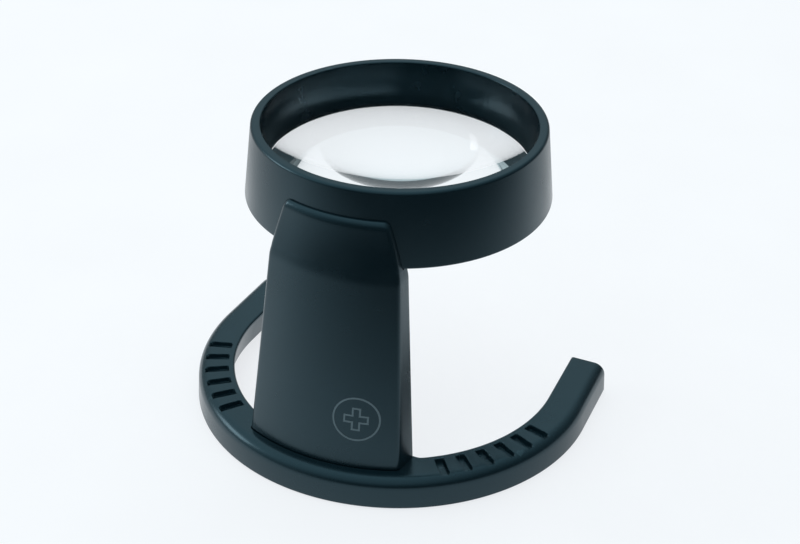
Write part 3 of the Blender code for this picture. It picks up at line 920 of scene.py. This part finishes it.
pieces = [
    (build_base(), "base", "stand_plastic"),
    (build_column(), "column", "stand_plastic"),
    (build_housing(), "lens_housing", "stand_plastic"),
    (build_lens(), "lens", "lens_acrylic"),
    (build_retainer(), "lens_retaining_ring", "retainer_plastic"),
]
for screw_side, label in ((-1.0, "left"), (1.0, "right")):
    pieces.append((build_screw("base_screw_fine_" + label, BASE_SCREW,
                               Matrix.Translation(base_screw_place(screw_side))),
                   "base_screw_" + label, "screw_steel"))
    pieces.append((build_screw("housing_screw_fine_" + label, HOUSING_SCREW,
                               housing_screw_place(screw_side)),
                   "housing_screw_" + label, "screw_steel"))
for piece, node, slot in pieces:
    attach(piece, "root")
    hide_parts(node)

mark = build_mark()
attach(mark, "root")


# ---------------------------------------------------------------- stage

def build_floor():
    """A pale sheet, lit softly from beneath as well as from above."""
    material, nodes, links, shader = new_nodes("paper_sweep")
    place = nodes.new("ShaderNodeTexCoord")
    fibre = noise(nodes, links, place, scale=35.0, detail=4.0)
    tone = mix_colour(nodes, links, spread(nodes, links, fibre, 0.0, 1.0), *FLOOR_COLOURS)
    links.new(tone, shader.inputs["Base Color"])
    shader.inputs["Roughness"].default_value = 0.8
    shader.inputs["Specular IOR Level"].default_value = 0.2
    shader.inputs["Emission Color"].default_value = FLOOR_GLOW_COLOUR
    shader.inputs["Emission Strength"].default_value = FLOOR_GLOW
    bm = bmesh.new()
    bmesh.ops.create_grid(bm, x_segments=8, y_segments=8, size=FLOOR_HALF_SIZE)
    bmesh.ops.translate(bm, verts=bm.verts, vec=(0.0, 0.0, FLOOR_LEVEL))
    floor = piece_from(bm, "floor", material)


def area_light(name, place, target, size, power):
    data = bpy.data.lights.new(name, "AREA")
    data.shape = "RECTANGLE"
    data.size, data.size_y = size
    data.energy = power
    light = bpy.data.objects.new(name, data)
    bpy.context.scene.collection.objects.link(light)
    light.location = place
    aim = Vector(target) - Vector(place)
    light.rotation_euler = aim.to_track_quat("-Z", "Y").to_euler()
    return light


def math_node(nodes, links, operation, first, second):
    node = nodes.new("ShaderNodeMath")
    node.operation = operation
    for socket, value in zip(node.inputs, (first, second)):
        if isinstance(value, float):
            socket.default_value = value
        else:
            links.new(value, socket)
    return node.outputs["Value"]


def ramp(nodes, links, value, start, end, low, high, kind="SMOOTHSTEP"):
    """Low before start, high after end."""
    node = nodes.new("ShaderNodeMapRange")
    node.interpolation_type = kind
    for name, number in (("From Min", start), ("From Max", end), ("To Min", low),
                         ("To Max", high)):
        node.inputs[name].default_value = number
    links.new(value, node.inputs["Value"])
    return node.outputs["Result"]


def along(nodes, links, vector, direction):
    """How far a shader's vector reaches in this direction."""
    node = nodes.new("ShaderNodeVectorMath")
    node.operation = "DOT_PRODUCT"
    links.new(vector, node.inputs[0])
    node.inputs[1].default_value = direction
    return node.outputs["Value"]


def build_world():
    """A pale studio, dimmer in front and to the right than behind and to the left."""
    world = bpy.data.worlds.new("studio")
    bpy.context.scene.world = world
    world.use_nodes = True
    nodes, links = world.node_tree.nodes, world.node_tree.links
    background = nodes["Background"]
    direction = nodes.new("ShaderNodeTexCoord").outputs["Generated"]
    behind = along(nodes, links, direction, -TOWARDS_CAMERA)
    left = along(nodes, links, direction, CAMERA_LEFT)
    above = along(nodes, links, direction, Vector((0.0, 0.0, 1.0)))
    wall = ramp(nodes, links, behind, *LIGHT_BEHIND)
    side = ramp(nodes, links, left, *LIGHT_LEFT)
    sky = ramp(nodes, links, above, *LIGHT_ABOVE)
    shade = ramp(nodes, links, left, *SHADE_RIGHT)
    light = math_node(nodes, links, "ADD", math_node(nodes, links, "ADD", wall, side), sky)
    light = math_node(nodes, links, "MULTIPLY", light, shade)
    path = nodes.new("ShaderNodeLightPath")
    direct = math_node(nodes, links, "LESS_THAN", path.outputs["Glossy Depth"], 0.5)
    through = math_node(nodes, links, "MULTIPLY", path.outputs["Is Transmission Ray"], direct)
    seen = math_node(nodes, links, "MAXIMUM", path.outputs["Is Camera Ray"], through)
    strength = nodes.new("ShaderNodeMix")
    links.new(seen, strength.inputs["Factor"])
    links.new(light, strength.inputs["A"])
    strength.inputs["B"].default_value = BACKDROP_STRENGTH
    links.new(strength.outputs["Result"], background.inputs["Strength"])
    links.new(mix_colour(nodes, links, seen, STUDIO_COLOUR, BACKDROP_COLOUR),
              background.inputs["Color"])


def build_painted_reflection_shade():
    """Painted dark reflections: a black sheet on the floor in front, seen only in reflections,
    clear at the object.
    """
    material = bpy.data.materials.new("painted_reflection_shade")
    material.use_nodes = True
    nodes, links = material.node_tree.nodes, material.node_tree.links
    nodes.clear()
    place = nodes.new("ShaderNodeNewGeometry").outputs["Position"]
    front = along(nodes, links, place, Matrix.Rotation(FLAG_TURN, 3, "Z") @ TOWARDS_CAMERA)
    near = ramp(nodes, links, front, FLAG_START, FLAG_END, FLAG_CLEAR, 0.0, "LINEAR")
    away = nodes.new("ShaderNodeVectorMath")
    away.operation = "LENGTH"
    links.new(place, away.inputs[0])
    around = ramp(nodes, links, away.outputs["Value"], FLAG_NEAR, FLAG_FAR, 1.0, FLAG_FAR_CLEAR,
                  "LINEAR")
    fall = math_node(nodes, links, "POWER", near, FLAG_FALL)
    bare = math_node(nodes, links, "MULTIPLY", fall, around)
    clear = nodes.new("ShaderNodeBsdfTransparent")
    black = nodes.new("ShaderNodeBsdfDiffuse")
    black.inputs["Color"].default_value = (0.0, 0.0, 0.0, 1.0)
    mix = nodes.new("ShaderNodeMixShader")
    links.new(bare, mix.inputs["Fac"])
    links.new(black.outputs["BSDF"], mix.inputs[1])
    links.new(clear.outputs["BSDF"], mix.inputs[2])
    output = nodes.new("ShaderNodeOutputMaterial")
    links.new(mix.outputs["Shader"], output.inputs["Surface"])
    bm = bmesh.new()
    bmesh.ops.create_grid(bm, x_segments=2, y_segments=2, size=FLAG_HALF_SIZE,
                          matrix=Matrix.Translation((0.0, 0.0, FLAG_LEVEL)))
    flag = piece_from(bm, "flag", material)
    # Only glossy rays see this sheet, so it paints darker reflections of the floor in front.
    flag.visible_camera = False
    flag.visible_diffuse = False
    flag.visible_transmission = False
    flag.visible_shadow = False


def build_camera():
    data = bpy.data.cameras.new("camera")
    data.sensor_width = SENSOR_MM
    data.lens = CAMERA_LENS_MM
    data.clip_start, data.clip_end = CAMERA_CLIP
    azimuth, elevation = CAMERA_AZIMUTH, CAMERA_ELEVATION
    back = Vector((math.sin(azimuth) * math.cos(elevation),
                   -math.cos(azimuth) * math.cos(elevation), math.sin(elevation)))
    level = Vector((math.cos(azimuth), math.sin(azimuth), 0.0))
    upright = back.cross(level)
    right = level * math.cos(CAMERA_ROLL) + upright * math.sin(CAMERA_ROLL)
    up = upright * math.cos(CAMERA_ROLL) - level * math.sin(CAMERA_ROLL)
    place = (Vector((0.0, AXIS_Y, 0.0)) + back * CAMERA_DISTANCE + right * CAMERA_AIM_RIGHT
             + up * CAMERA_AIM_UP)
    camera = bpy.data.objects.new("camera", data)
    bpy.context.scene.collection.objects.link(camera)
    turn = Matrix((right, up, back)).transposed().to_4x4()
    camera.matrix_world = Matrix.Translation(place) @ turn
    bpy.context.scene.camera = camera


bpy.context.scene.view_settings.view_transform = "Standard"
build_floor()
build_painted_reflection_shade()
build_world()
build_camera()
overhead = area_light("overhead", OVERHEAD_PLACE, (0.0, 0.0, 0.0), OVERHEAD_SIZE, OVERHEAD_POWER)
overhead.visible_glossy = False
overhead.visible_transmission = False
window_place = (CAMERA_LEFT * WINDOW_LEFT + TOWARDS_CAMERA * WINDOW_TOWARDS
                + Vector((0.0, 0.0, WINDOW_HEIGHT)))
area_light("window", window_place, WINDOW_TARGET, WINDOW_SIZE, WINDOW_POWER)
